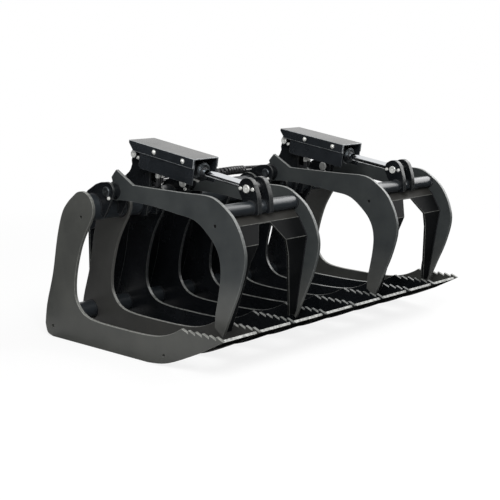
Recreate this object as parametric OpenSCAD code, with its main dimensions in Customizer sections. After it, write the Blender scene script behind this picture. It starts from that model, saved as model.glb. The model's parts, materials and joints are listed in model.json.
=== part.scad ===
/* [Bowl] */
// Spacing of the nine tines along the width
tine_pitch = 228.6; // [205:0.1:250]
// Thickness of the tines and end plates
tine_t = 16; // [12:0.5:20]
// Length of a tine from its tip to its back
bowl_l = 1200; // [1140:1:1260]
// Height of a tine from the ground to its head
bowl_h = 730; // [700:1:760]
// Radius of the round head that holds the top tube
head_r = 79; // [76:0.5:86]
// Outside diameter of the top tube
top_tube_d = 127; // [114:0.5:133]
// Outside diameter of the rear tube
rear_tube_d = 88.9; // [76:0.1:95]
// Distance from one saw tooth to the next
tooth_pitch = 41.5; // [36:0.5:42]
// Height of a saw tooth
tooth_h = 16; // [10:0.5:20]
// Width of the lip plate under the tips
lip_w = 136; // [100:1:138]
// Thickness of the lip plate
lip_t = 12; // [8:0.5:16]
// Diameter of the small holes in the end plates
end_hole_d = 16; // [10:0.5:20]

/* [Clamping arms] */
// Distance of each arm's middle from the machine's middle
arm_x = 554.5; // [545:0.5:565]
// Distance between the two claws of an arm
claw_gap = 491; // [480:1:500]
// Thickness of a claw
claw_t = 16; // [12:0.5:20]
// Reach of a claw ahead of its pivot
claw_reach = 816; // [800:1:830]
// Drop of a claw's tip below its pivot
claw_drop = 578; // [565:1:585]
// Distance of the pivot ahead of the top tube's axis
pivot_fwd = 103; // [101:0.5:108]
// Height of the pivot above the top tube's axis
pivot_up = 81; // [79:0.5:86]
// Radius of a claw's round end at the pivot
claw_end_r = 45; // [42:0.5:47]
// Outside diameter of a claw's hub
hub_d = 74; // [62:0.5:78]
// Length of a claw's hub
hub_l = 88; // [80:0.5:92]
// Thickness of the pivot ears
ear_t = 12; // [10:0.5:16]
// Diameter of the pivot pins
pivot_pin_d = 38; // [32:0.5:44]
// Outside diameter of an arm's cross tube
cross_tube_d = 60; // [50:0.5:64]
// Thickness of the formed gusset
gusset_t = 12; // [8:0.5:14]
// Width of the gusset's wing at its bend line
wing_w = 147; // [130:1:155]
// Thickness of a rod lug
lug_t = 25; // [16:0.5:28]
// Radius of a rod lug's head
lug_r = 48; // [44:0.5:50]

/* [Cylinders] */
// Distance of the base pin ahead of the top tube's axis
base_fwd = 23; // [15:0.5:30]
// Height of the base pin above the top tube's axis
base_up = 234; // [232:0.5:240]
// Distance of the rod pin ahead of the top tube's axis
rod_pin_fwd = 744; // [738:0.5:750]
// Height of the rod pin above the top tube's axis
rod_pin_up = 125; // [123:0.5:130]
// Outside diameter of the barrel
barrel_d = 82; // [76:0.5:86]
// Wall thickness of the barrel
barrel_wall = 8; // [6:0.5:10]
// Distance from the base pin to the barrel's front end
barrel_end = 388; // [380:1:392]
// Diameter of the rod
rod_d = 35; // [30:0.5:38]
// Diameter of the base pins and rod pins
cyl_pin_d = 32; // [28:0.5:36]
// Width of the base eye and of the rod eye
eye_w = 52; // [46:0.5:56]
// Outside radius of the base eye and of the rod eye
eye_r = 31; // [28:0.5:32]

/* [Guards] */
// Width of a cylinder guard
guard_w = 164; // [156:0.5:170]
// Height of a guard's top above the cylinder's axis
guard_up = 67; // [62:0.5:70]
// Depth of a guard's side plates below the cylinder's axis
guard_down = 55; // [50:0.5:60]
// Distance from the base pin to the guard's front edge
guard_fwd = 421; // [415:1:425]
// Distance that the cover runs behind the base pin
guard_back = 19; // [14:0.5:26]
// Thickness of the guard's sheets
guard_t = 6; // [4:0.5:8]
// Depth of the cover's side flanges
flange_h = 47; // [40:0.5:52]
// Diameter of the guard bolts' heads
guard_bolt_d = 23; // [18:0.5:26]

/* [Towers and mount] */
// Thickness of the tower plates
tower_t = 12; // [8:0.5:14]
// Distance of the mount plate's front face behind the top tube's axis
mount_back = 342; // [335:1:360]
// Height of the mount plate
mount_h = 450; // [430:1:470]
// Thickness of the mount plate, its hook and its ledge
mount_t = 12; // [10:0.5:16]
// Depth of the ledge behind the mount plate
ledge_d = 80; // [70:1:90]
// Distance of a wedge slot's middle from the mount plate's side edge
slot_in = 106; // [102:0.5:110]
// Length of a wedge slot
slot_l = 60; // [50:1:70]
// Width of a wedge slot
slot_w = 28; // [24:0.5:32]
// Diameter of the hydraulic hoses
hose_d = 18; // [14:0.5:19]

/* [Hidden] */
$fn = 48;

// Colours as the photograph shows them
paint = [0.14, 0.15, 0.16];
paint_lit = [0.29, 0.29, 0.28];
zinc = [0.78, 0.78, 0.75];
chrome = [0.85, 0.86, 0.88];
hose_black = [0.07, 0.07, 0.08];

// Small sizes that several pieces use
cut = 2;
run_gap = 0.05;
side_gap = 0.5;
seat_gap = 0.6;
tube_wall = 8;

// Numbers of things
tine_n = 9;
tooth_n = 6;
curve_n = 4;

// Where the bowl lies: the origin is below the middle of the whole machine
tube_share = [0.751, 0.893];
reach = max(pivot_fwd + claw_reach, tube_share[0] * bowl_l);
rear_reach = mount_back + mount_t + ledge_d;
tube_y = (reach - rear_reach) / 2;
tube_z = tube_share[1] * bowl_h;
tip_y = tube_y - tube_share[0] * bowl_l;
end_x = tine_pitch * (tine_n - 1) / 2;
tubes_l = 2 * end_x - tine_t;

// Pivot points in the side view
tube_p = [tube_y, tube_z];
pivot_p = tube_p + [-pivot_fwd, pivot_up];
base_p = tube_p + [-base_fwd, base_up];
rod_p = tube_p + [-rod_pin_fwd, rod_pin_up];
cyl_tilt = atan2(base_p[1] - rod_p[1], base_p[0] - rod_p[0]);
pin_to_pin = norm(base_p - rod_p);

// Outline of a tine, as shares of its length from the tip and of its height
back_share = [[0.8, 0.968], [0.84, 0.915], [0.875, 0.838], [0.908, 0.68], [0.942, 0.433],
  [0.985, 0.22], [1, 0.08]];
heel_share = [[1, 0.08], [0.987, 0.019], [0.953, 0]];
sole_share = [[0.387, 0], [0.313, 0.014], [0.242, 0.049], [0.12, 0.136]];
tip_share = [0, 0.24];
throat_share = [[0.228, 0.24], [0.276, 0.205], [0.339, 0.178], [0.43, 0.168], [0.56, 0.168],
  [0.685, 0.175], [0.757, 0.204], [0.798, 0.278], [0.807, 0.36], [0.796, 0.488], [0.759, 0.663],
  [0.702, 0.814]];
rear_tube_share = [0.934, 0.14];
lip_set = 18;
head_from_angle = 218;
head_to_angle = 50;
head_step_angle = -6;
end_hole_share = [[0.758, 0.836], [0.952, 0.073], [0.301, 0.067]];

// Outline of a claw, as shares of its reach ahead of the pivot and of its drop
tab_share = [[-0.027, 0.109], [0.014, 0.171], [0.151, 0.061]];
brow_share = [[0.151, 0.061], [0.368, 0.054], [0.569, 0.05], [0.708, 0.05], [0.784, 0.031],
  [0.859, -0.029], [0.918, -0.1], [0.964, -0.2], [0.991, -0.3], [1, -0.38], [0.991, -0.478],
  [0.955, -0.638], [0.906, -0.792], [0.876, -0.889], [0.841, -1]];
palm_share = [[0.784, -0.94], [0.788, -0.844], [0.802, -0.751], [0.82, -0.614], [0.827, -0.495],
  [0.815, -0.394], [0.783, -0.31], [0.733, -0.239], [0.669, -0.171], [0.605, -0.136],
  [0.5, -0.118], [0.366, -0.092], [0.227, -0.074], [0.063, -0.069], [0.005, -0.078]];
claw_hole_share = [0.787, -0.17];

// Side view of the formed gusset's front face, which has two folds, on the same shares as a claw
gusset_share = [[0.797, -0.09], [0.858, -0.178], [0.917, -0.319], [0.84, -0.97]];
bend_z_share = -0.319;
arch_z_share = -0.185;
arch_half = 38;
wing_mid_share = -0.45;
wing_mid = 112;
wing_end = 40;
cross_tube_share = [0.815, -0.064];

// The pivot ears
ear_share = [[1, 1.55], [0.6, 1.5], [0.25, 1.36], [-0.33, 0.94], [-0.6, 0.62], [-0.64, 0.1],
  [0, 0], [0.75, -0.52], [0.96, -0.2], [1.34, 0.6]];
ear_gap = hub_l / 2 + side_gap;
pin_head_t = 8;
pin_head_over = 4;
pin_head_d = pivot_pin_d + 2 * pin_head_over;
pivot_bolt_fwd = 15;
pivot_bolt_down = 30;
bolt_d = 17;

// The towers
tower_half = eye_w / 2 + side_gap + tower_t / 2;
tower_ear_wall = 19;
tower_ear_r = cyl_pin_d / 2 + tower_ear_wall;
ear_root_share = [0.63, 0.51];
tower_share = [[-0.31, 0.667], [-0.31, 0.2], [-0.23, -0.26], [0.23, -0.26], [1, -0.75], [1, -0.43],
  [0.82, -0.12], [0.68, 0.14], [0.53, 0.3], [0.4, 0.37], [0.28, 0.445], [0.166, 0.554],
  [0.112, 0.612], [0.079, 0.668], [0.046, 0.775], [0.055, 0.856]];
base_bolt_fwd = 37;
base_bolt_down = 16;
base_bolt_p = base_p - [base_bolt_fwd, base_bolt_down];
base_lobe_r = 18;
hose_hole_r = 24;
hose_hole_back = 66;
hose_hole_up = 80;

// The mount
mount_y = tube_y + mount_back;
mount_over = 2;
mount_w = 2 * (arm_x + tower_half + tower_t / 2 + mount_over);
mount_drop = 97;
mount_top = tube_z - mount_drop;
mount_z = mount_top - mount_h;
slot_gap = mount_w - 2 * slot_in;
ledge_in = 60;
hook_l = 48;
hook_angle = 45;
mount_corner = 40;
brace_root = 110;
brace_skip = 2;
bulkhead_w = 150;
bulkhead_h = 201;
bulkhead_set = 60;
port_x = 36;
port_up = 163;
block_w = 92;
block_h = 60;
block_d = 40;
port_hex_r = 16;
port_hex_h = 16;
port_nose_r = 11;
port_nose_h = 26;

// The cylinders, measured forward from the base pin along the axis
barrel_bore = barrel_d - 2 * barrel_wall;
base_neck = 70;
base_cap_t = 18;
piston_back = 352;
piston_t = 30;
gland_l = 28;
gland_lip = 4;
eye_neck = 44;
guard_in = guard_w / 2 - guard_t;
corner_r = 18;
side_rear = 58;
scoop_r = 58;
saddle_share = 0.35;
base_pin_half = tower_half + tower_t / 2;
base_head_t = 6;
base_head_over = 2.5;
base_head_d = cyl_pin_d + 2 * base_head_over;
base_bolt_r = 9;
bolt_rear = 159;
bolt_front = 351;
bolt_up = 43;
bolt_h = 8;
saddle_rear = 170;
saddle_front = 340;
saddle_t = 10;
base_port_at = 130;
rod_port_at = 366;
port_set = 15;
port_r = 11;
port_down = 59;
line_r = 6;
line_down = 50;
port_p = base_p - (base_port_at * [cos(cyl_tilt), sin(cyl_tilt)])
  - (port_down + seat_gap) * [-sin(cyl_tilt), cos(cyl_tilt)];

// The rod lugs
lug_x = eye_w / 2 + side_gap + lug_t / 2;
lug_angle = 155;
lug_waist_share = 0.6;
lug_foot_back = 14;
rod_bolt_at = 36;
neck_share = 0.8;

// A pair of hoses runs from the manifold block to the towers and on to a barrel's ports.
// Points by hand, in units: along the width, behind the top tube's axis, above it, and how far
// the two hoses stand off the line, along the width and upwards
hose_unit = 1;
hose_run = [[28, 241.4, 66, 0, 12], [28, 212, 66, 0, 12], [30, 152, 70, 0, 11], [60, 97, 80, 0, 10],
  [110, 70, 86, 0, 10], [180, 66, 88, 0, 10], [260, 64, 87, 0, 10], [360, 64, 84, 0, 10]];
hose_rise = [[-75, 64, 81, 0, 10], [-32, 66, 80, 0, 10], [-6, 40, 84, 0, 10], [0, -3, 94, 0, 10],
  [0, -58, 92, 2, 9], [0, -103, 80, 6, 8], [0, -132, 95, 11, 5], [0, -138.5, 128, 15, 0]];
hose_sides = 8;
hose_curve = 3;
sleeve_ends = [3, 6];
sleeve_bore_r = 20;
sleeve_root_r = 21;
sleeve_rib_r = 23;
sleeve_curve = 10;

// A smooth curve through points: the cubic whose slope at each point follows its neighbours
function knot(p, i) = p[max(0, min(len(p) - 1, i))];
function spline(p, n) = concat(
  [for (i = [0 : len(p) - 2]) for (k = [0 : n - 1])
    let (t = k / n, a = knot(p, i - 1), b = p[i], c = p[i + 1], d = knot(p, i + 2))
    (2 * b + (c - a) * t + (2 * a - 5 * b + 4 * c - d) * t * t
      + (3 * b - a - 3 * c + d) * t * t * t) / 2],
  [p[len(p) - 1]]);
function on_bowl(s) = [tip_y + s[0] * bowl_l, s[1] * bowl_h];
function on_claw(s) = [pivot_p[0] - s[0] * claw_reach, pivot_p[1] + s[1] * claw_drop];
function all_bowl(list) = [for (s = list) on_bowl(s)];
function all_claw(list) = [for (s = list) on_claw(s)];
cross_tube_p = on_claw(cross_tube_share);
claw_inside = claw_gap - claw_t;

// The slope of the sole behind the tip, and the saw teeth on top of it
tip_p = on_bowl(tip_share);
sole_p = on_bowl(sole_share[3]);
lip_angle = atan2(sole_p[1] - tip_p[1], sole_p[0] - tip_p[0]);
saw_teeth = [for (i = [0 : tooth_n - 1]) each [
  [tip_p[0] + i * tooth_pitch, tip_p[1]],
  [tip_p[0] + (i + 1) * tooth_pitch, tip_p[1] + tooth_h]]];

// A plate drawn in the side view, with its middle at x
module plate(x, t) translate([x - t / 2, 0, 0]) rotate([90, 0, 90]) linear_extrude(t) children();

// A round bar across the width, with its middle at x
module bar_x(x, p, r, l) translate([x - l / 2, p[0], p[1]]) rotate([0, 90, 0]) cylinder(r = r, h = l);

// A disc of the side view
module disc(p, r) translate(p) circle(r = r);

// Two discs and the straight sides that join them, set in a hair so that they cross both
module link(p, r, q, s) {
  d = norm(q - p);
  a = atan2(q[1] - p[1], q[0] - p[0]);
  b = acos((r - s) / d);
  disc(p, r);
  disc(q, s);
  polygon([for (e = [[p, r, b], [q, s, b], [q, s, -b], [p, r, -b]])
    e[0] + (e[1] - run_gap) * [cos(a + e[2]), sin(a + e[2])]]);
}

// Puts a child on a cylinder's axis: the base pin is at its origin and forward is -Y
module on_cylinder(side) translate([side * arm_x, base_p[0], base_p[1]]) rotate([cyl_tilt, 0, 0])
  children();

// A round bar along a cylinder's axis, from one distance ahead of the base pin to another
module bar_fwd(a, b, r, x = 0, z = 0) translate([x, -a, z]) rotate([90, 0, 0]) cylinder(r = r, h = b - a);

module tine_side() polygon(concat(saw_teeth, all_bowl(spline(throat_share, curve_n)),
  [for (a = [head_from_angle : head_step_angle : head_to_angle]) tube_p + head_r * [cos(a), sin(a)]],
  all_bowl(spline(back_share, curve_n)), all_bowl(spline(heel_share, curve_n)),
  all_bowl(spline(sole_share, curve_n))));

module lip_side() translate(tip_p) rotate(lip_angle) translate([lip_set, 0]) square([lip_w, lip_t]);

module end_plate(side) color(paint_lit) plate(side * end_x, tine_t) difference() {
  tine_side();
  for (s = end_hole_share) disc(on_bowl(s), end_hole_d / 2);
}

module tine(i) color(paint) plate(-end_x + i * tine_pitch, tine_t) difference() {
  tine_side();
  disc(tube_p, top_tube_d / 2);
  disc(on_bowl(rear_tube_share), rear_tube_d / 2);
  lip_side();
}

module top_tube() color(paint) difference() {
  bar_x(0, tube_p, top_tube_d / 2, tubes_l);
  bar_x(0, tube_p, top_tube_d / 2 - tube_wall, tubes_l + cut);
}

module rear_tube() color(paint) difference() {
  bar_x(0, on_bowl(rear_tube_share), rear_tube_d / 2, tubes_l);
  bar_x(0, on_bowl(rear_tube_share), rear_tube_d / 2 - tube_wall, tubes_l + cut);
}

module lip_plate() color(paint) plate(0, tubes_l) lip_side();

// A tower plate: its ear on the base pin, its foot round the top tube and its tail to the mount
module tower_side() difference() {
  union() {
    link(base_p, tower_ear_r, base_bolt_p, base_lobe_r);
    polygon(concat([for (s = tower_share) tube_p + [s[0] * mount_back, s[1] * base_up]],
      [base_p + tower_ear_r * ear_root_share, base_bolt_p]));
  }
  disc(tube_p, top_tube_d / 2);
  disc(base_p, cyl_pin_d / 2);
  disc(tube_p + [hose_hole_back, hose_hole_up], hose_hole_r);
}

module tower(side) color(paint) for (e = [-1, 1])
  plate(side * arm_x + e * tower_half, tower_t) tower_side();

// A pivot ear: a saddle on the top tube that reaches forward to the pivot
module ear_side() difference() {
  union() {
    disc(pivot_p, claw_end_r);
    polygon([for (s = ear_share) tube_p + [-s[0] * pivot_fwd, s[1] * pivot_up]]);
  }
  disc(tube_p, top_tube_d / 2);
  disc(pivot_p, pivot_pin_d / 2);
}

module pivot_ears(side) color(paint) for (c = [-1, 1]) for (e = [-1, 1])
  plate(side * arm_x + c * claw_gap / 2 + e * (ear_gap + ear_t / 2), ear_t) ear_side();

// Each pivot pin has a head at both ends, and a bolt beside it that keeps it from turning
module pivot_pins() color(zinc) for (side = [-1, 1]) for (c = [-1, 1]) {
  x = side * arm_x + c * claw_gap / 2;
  l = ear_gap + ear_t;
  bar_x(x, pivot_p, pivot_pin_d / 2, 2 * l);
  for (e = [-1, 1]) {
    bar_x(x + e * (l + pin_head_t / 2), pivot_p, pin_head_d / 2, pin_head_t);
    bar_x(x + e * (l + pin_head_t / 2), pivot_p - [pivot_bolt_fwd, pivot_bolt_down], bolt_d / 2, pin_head_t);
  }
}

module mount_plate() color(paint) translate([0, mount_y, 0]) rotate([90, 0, 0]) mirror([0, 0, 1])
  linear_extrude(mount_t) difference() {
    translate([-mount_w / 2, mount_z]) square([mount_w, mount_h]);
    for (e = [-1, 1]) translate([e * mount_w / 2, mount_z]) rotate(45)
      square(mount_corner, center = true);
  }

// The hook is a flange that leans back from the top of the mount plate
module mount_hook() color(paint) plate(0, mount_w) translate([mount_y, mount_top])
  polygon([[0, 0], [mount_t, 0], [mount_t + hook_l * sin(hook_angle), hook_l * cos(hook_angle)],
    [mount_t + hook_l * sin(hook_angle) - mount_t * cos(hook_angle),
      hook_l * cos(hook_angle) + mount_t * sin(hook_angle)],
    [0, mount_t * tan(hook_angle / 2)]]);

// The ledge runs back from under the mount plate, with a slot for each of the coupler's wedges
module mount_ledge() color(paint) difference() {
  translate([ledge_in - mount_w / 2, mount_y, mount_z - mount_t])
    cube([mount_w - 2 * ledge_in, mount_t + ledge_d, mount_t]);
  for (e = [-1, 1]) translate([e * slot_gap / 2, mount_y + mount_t + ledge_d / 2, mount_z - mount_t - cut])
    linear_extrude(mount_t + 2 * cut) {
      square([slot_l - slot_w, slot_w], center = true);
      for (f = [-1, 1]) translate([f * (slot_l - slot_w) / 2, 0]) circle(d = slot_w);
    }
}

// Upright plates between the mount plate and the backs of five tines
module mount_braces() color(paint) for (i = [brace_skip : tine_n - 1 - brace_skip])
  plate(-end_x + i * tine_pitch, tine_t) difference() {
    polygon([[tube_y + brace_root, mount_z], [mount_y, mount_z], [mount_y, mount_top],
      [tube_y + brace_root, mount_top]]);
    tine_side();
  }

module bulkhead() color(paint) difference() {
  translate([-bulkhead_w / 2, mount_y - bulkhead_set, mount_top]) union() {
    cube([bulkhead_w, bulkhead_set, mount_t]);
    cube([bulkhead_w, mount_t, bulkhead_h]);
  }
  for (e = [-1, 1]) translate([e * port_x, mount_y - bulkhead_set - cut, mount_top + port_up])
    rotate([-90, 0, 0]) cylinder(r = port_nose_r, h = mount_t + 2 * cut);
}

// The manifold block in front of the bulkhead, and its two ports through it to the rear
module bulkhead_ports() color(zinc) {
  translate([-block_w / 2, mount_y - bulkhead_set - block_d, mount_top + port_up - block_h / 2])
    cube([block_w, block_d, block_h]);
  for (e = [-1, 1]) translate([e * port_x, mount_y - bulkhead_set, mount_top + port_up])
    rotate([-90, 0, 0]) {
      translate([0, 0, mount_t]) cylinder(r = port_hex_r, h = port_hex_h, $fn = 6);
      cylinder(r = port_nose_r, h = mount_t + port_nose_h);
    }
}

// A claw: an arched arm that turns down into a pointed finger, with a square tab at its round end
module claw(x) color(paint_lit) plate(x, claw_t) difference() {
  union() {
    disc(pivot_p, claw_end_r);
    polygon(concat([pivot_p], all_claw(tab_share), all_claw(spline(brow_share, curve_n)),
      all_claw(spline(palm_share, curve_n))));
  }
  disc(pivot_p, hub_d / 2);
  disc(on_claw(claw_hole_share), end_hole_d / 2);
}

module claw_hubs(side) color(paint) for (c = [-1, 1]) {
  x = side * arm_x + c * claw_gap / 2;
  difference() {
    bar_x(x, pivot_p, hub_d / 2, hub_l);
    bar_x(x, pivot_p, pivot_pin_d / 2 + run_gap, hub_l + cut);
  }
}

module cross_tube(side) color(paint) difference() {
  bar_x(side * arm_x, cross_tube_p, cross_tube_d / 2, claw_inside);
  bar_x(side * arm_x, cross_tube_p, cross_tube_d / 2 - tube_wall, claw_inside + cut);
}

// The gusset's sheet in the side view: its front line and the same line set back by its thickness
gusset_line = all_claw(gusset_share);
function turned(line, i) = let (v = line[i + 1] - line[i]) [-v[1], v[0]] / norm(v);
function beside(line, i, t) = let (a = turned(line, max(0, i - 1)), b = turned(line, min(len(line) - 2, i)))
  line[i] + t * (a + b) / (1 + a * b);

module gusset_side() difference() {
  polygon(concat(gusset_line,
    [for (i = [len(gusset_line) - 1 : -1 : 0]) beside(gusset_line, i, gusset_t)]));
  disc(cross_tube_p, cross_tube_d / 2);
}

module gusset(side) color(paint) translate([side * arm_x, 0, 0]) intersection() {
  plate(0, claw_inside) gusset_side();
  gusset_front();
}

// The gusset seen from the front: a wall between the claws, arched out and tapering down each claw
module gusset_front() {
  half = claw_inside / 2;
  z_top = cross_tube_p[1] + cross_tube_d;
  z_arch = on_claw([0, arch_z_share])[1];
  z_bend = on_claw([0, bend_z_share])[1];
  z_mid = on_claw([0, wing_mid_share])[1];
  z_end = on_claw([0, -1])[1];
  translate([0, pivot_p[0] - claw_reach, 0]) rotate([90, 0, 0]) mirror([0, 0, 1])
    linear_extrude(claw_reach / 2) polygon([
      [-half, z_top], [half, z_top], [half, z_end], [half - wing_end, z_end],
      [half - wing_mid, z_mid], [half - wing_w, z_bend], [arch_half, z_arch], [-arch_half, z_arch],
      [wing_w - half, z_bend], [wing_mid - half, z_mid], [wing_end - half, z_end], [-half, z_end]]);
}

// A rod lug: a round head on the rod pin that runs down in front of the cross tube
module lug_side() difference() {
  union() {
    disc(rod_p, lug_r);
    polygon(spline([rod_p + lug_r * [cos(lug_angle), sin(lug_angle)],
      rod_p - [lug_r + lug_foot_back, lug_r * lug_waist_share],
      cross_tube_p + [-cross_tube_d / 2 - lug_foot_back, 0],
      cross_tube_p + [-cross_tube_d / 2 - lug_foot_back / 2, -cross_tube_d / 2],
      cross_tube_p + [cross_tube_d / 2, -cross_tube_d / 4],
      cross_tube_p + [cross_tube_d / 2 + lug_foot_back, cross_tube_d / 4],
      rod_p - lug_r * [cos(lug_angle), sin(lug_angle)]], curve_n));
  }
  disc(cross_tube_p, cross_tube_d / 2);
  disc(rod_p, cyl_pin_d / 2);
  gusset_side();
}

module rod_lugs(side) color(paint) for (e = [-1, 1]) plate(side * arm_x + e * lug_x, lug_t) lug_side();

// The rod pin's two ends, one in each lug, with a head and a washer on the outside
module rod_pin(side) color(zinc) for (e = [-1, 1]) {
  bar_x(side * arm_x + e * lug_x, rod_p, cyl_pin_d / 2, lug_t);
  bar_x(side * arm_x + e * (lug_x + lug_t / 2 + base_head_t / 2), rod_p, base_head_d / 2, base_head_t);
}

module rod_pin_bolts(side) color(zinc) for (e = [-1, 1]) for (f = [-1, 1])
  bar_x(side * arm_x + e * (lug_x + lug_t / 2 + bolt_h / 2), rod_p + [f * rod_bolt_at, 0],
    bolt_d / 2, bolt_h);

module barrel(side) color(paint) on_cylinder(side) {
  difference() {
    bar_fwd(base_neck, barrel_end, barrel_d / 2);
    bar_fwd(base_neck + base_cap_t, barrel_end + cut, barrel_bore / 2);
  }
  difference() {
    union() {
      bar_x(0, [0, 0], eye_r, eye_w);
      translate([-eye_w / 2 + cut, -base_neck, -eye_r * neck_share])
        cube([eye_w - 2 * cut, base_neck, 2 * eye_r * neck_share]);
    }
    bar_x(0, [0, 0], cyl_pin_d / 2 + run_gap, eye_w + cut);
  }
}

module gland(side) color(paint_lit) on_cylinder(side) difference() {
  union() {
    bar_fwd(barrel_end, barrel_end + gland_l - gland_lip, barrel_d / 2 + gland_lip / 2);
    bar_fwd(barrel_end + gland_l - gland_lip, barrel_end + gland_l, barrel_d / 2 - gland_lip);
  }
  bar_fwd(barrel_end - cut, barrel_end + gland_l + cut, rod_d / 2 + run_gap);
}

// A base pin with a head at each end, and the bolt that keeps each head from turning
module base_pin(side) color(zinc) {
  bar_x(side * arm_x, base_p, cyl_pin_d / 2, 2 * base_pin_half);
  for (e = [-1, 1]) {
    bar_x(side * arm_x + e * (base_pin_half + base_head_t / 2), base_p, base_head_d / 2, base_head_t);
    bar_x(side * arm_x + e * (base_pin_half + base_head_t / 2), base_bolt_p, base_bolt_r, base_head_t);
  }
}

module guard_cover(side) color(paint) on_cylinder(side) difference() {
  translate([-guard_w / 2, -guard_fwd, guard_up - flange_h]) cube([guard_w, guard_fwd + guard_back, flange_h]);
  translate([-guard_in, -guard_fwd - cut, guard_up - flange_h - cut])
    cube([2 * guard_in, guard_fwd + guard_back + 2 * cut, flange_h - guard_t + cut]);
  translate([0, guard_back, guard_up - flange_h]) rotate([45, 0, 0])
    cube([guard_w + cut, flange_h, flange_h], center = true);
}

// The guard's side plates, scooped out round the base pin, and the saddles that carry them
module guard_sides(side) color(paint) on_cylinder(side) {
  for (e = [-1, 1]) plate(e * (guard_in - guard_t / 2), guard_t) difference() {
    union() {
      polygon([[-guard_fwd, -guard_down], [-side_rear - corner_r, -guard_down],
        [-side_rear, corner_r - guard_down], [-side_rear, 0], [0, guard_up - flange_h],
        [0, guard_up - guard_t], [-guard_fwd, guard_up - guard_t]]);
      disc([-side_rear - corner_r, corner_r - guard_down], corner_r);
    }
    disc([0, 0], scoop_r);
  }
  for (a = [saddle_rear, saddle_front]) difference() {
    translate([-guard_in + guard_t, -a, -barrel_d * saddle_share])
      cube([2 * (guard_in - guard_t), saddle_t, 2 * barrel_d * saddle_share]);
    bar_fwd(a - 2 * saddle_t, a + saddle_t, barrel_d / 2);
  }
}

module guard_bolts(side) color(zinc) on_cylinder(side) for (e = [-1, 1]) for (a = [bolt_rear, bolt_front])
  bar_x(e * (guard_w / 2 + bolt_h / 2), [-a, bolt_up], guard_bolt_d / 2, bolt_h);

// Two ports under the barrel near its base, and a steel line from one of them to the rod end
module port_fittings(side) color(zinc) on_cylinder(side) difference() {
  union() {
    for (q = [[-port_set, base_port_at], [port_set, base_port_at], [-port_set, rod_port_at]])
      translate([side * q[0], -q[1], -port_down]) cylinder(r = port_r, h = port_down);
    bar_fwd(base_port_at, rod_port_at, line_r, -side * port_set, -line_down);
  }
  bar_fwd(base_neck, barrel_end, barrel_d / 2 + run_gap);
}

// A round tube swept through points, with a radius for each; a hollow one turns back on itself
function unit(v) = v / norm(v);
function tangent(p, i) = unit(knot(p, i + 1) - knot(p, i - 1));
function square_to(v, t) = unit(v - (v * t) * t);
function normals(p) = [for (i = 0, n = square_to([0, 0, 1], tangent(p, 0)); i < len(p);
  i = i + 1, n = square_to(n, tangent(p, i))) n];
function ring(c, t, n, r) = [for (k = [0 : hose_sides - 1]) let (a = 360 * k / hose_sides)
  c + r * (cos(a) * n + sin(a) * cross(t, n))];
function rings(p, r) = let (n = normals(p)) [for (i = [0 : len(p) - 1])
  ring(p[i], tangent(p, i), n[i], r[i])];
function skin(n) = [for (i = [0 : n - 2]) for (k = [0 : hose_sides - 1])
  let (a = i * hose_sides, b = a + hose_sides, c = (k + 1) % hose_sides)
  each [[a + k, b + k, b + c], [a + k, b + c, a + c]]];
function lid(a, flip) = [for (k = [1 : hose_sides - 2])
  flip ? [a, a + k + 1, a + k] : [a, a + k, a + k + 1]];

module hose(p) {
  ends = len(p) - 1;
  polyhedron(points = [for (g = rings(p, [for (q = p) hose_d / 2])) each g],
    faces = concat(skin(len(p)), lid(0, false), lid(ends * hose_sides, true)));
}

// A ribbed sleeve: the rings of its outside, then those of its bore back to the start
module sleeve(p) {
  last = len(p) - 1;
  out = rings(p, [for (i = [0 : last]) i % 2 == 0 ? sleeve_root_r : sleeve_rib_r]);
  bore = rings(p, [for (i = [0 : last]) sleeve_bore_r]);
  all = concat(out, [for (i = [last : -1 : 0]) bore[i]], [out[0]]);
  polyhedron(points = [for (i = [0 : len(all) - 2]) each all[i]],
    faces = [for (f = skin(len(all))) [for (v = f) v % ((len(all) - 1) * hose_sides)]]);
}

// A hose's points: those of its run along the top tube, those of its rise to the port, the port
function hose_at(side, e, x, q) = [side * (x + hose_unit * q[0]) + e * hose_unit * q[3],
  tube_y + hose_unit * q[1], tube_z + hose_unit * (q[2] + e * q[4])];
function hose_line(side, e) = concat([for (q = hose_run) hose_at(side, e, 0, q)],
  [for (q = hose_rise) hose_at(side, e, arm_x, q)], [[side * arm_x + e * port_set, port_p[0], port_p[1]]]);

module hoses(side) color(hose_black) for (e = [-1, 1]) hose(spline(hose_line(side, e), hose_curve));

module hose_sleeve(side) color(hose_black)
  sleeve(spline([for (i = [sleeve_ends[0] : sleeve_ends[1]]) hose_line(side, 0)[i]], sleeve_curve));

module rod(side) color(chrome) on_cylinder(side) {
  bar_fwd(piston_back + piston_t, pin_to_pin - eye_neck, rod_d / 2);
  bar_fwd(piston_back, piston_back + piston_t, barrel_bore / 2 - run_gap);
}

// The rod eye, with the middle of the rod pin in it
module rod_eye(side) color(paint) on_cylinder(side) {
  bar_x(0, [-pin_to_pin, 0], eye_r, eye_w);
  difference() {
    bar_fwd(pin_to_pin - eye_neck - eye_neck / 2, pin_to_pin, rod_d / 2 + gland_lip);
    bar_fwd(pin_to_pin - 2 * eye_neck, pin_to_pin - eye_neck, rod_d / 2);
    bar_x(0, [-pin_to_pin, 0], eye_r, eye_w);
  }
}

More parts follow.
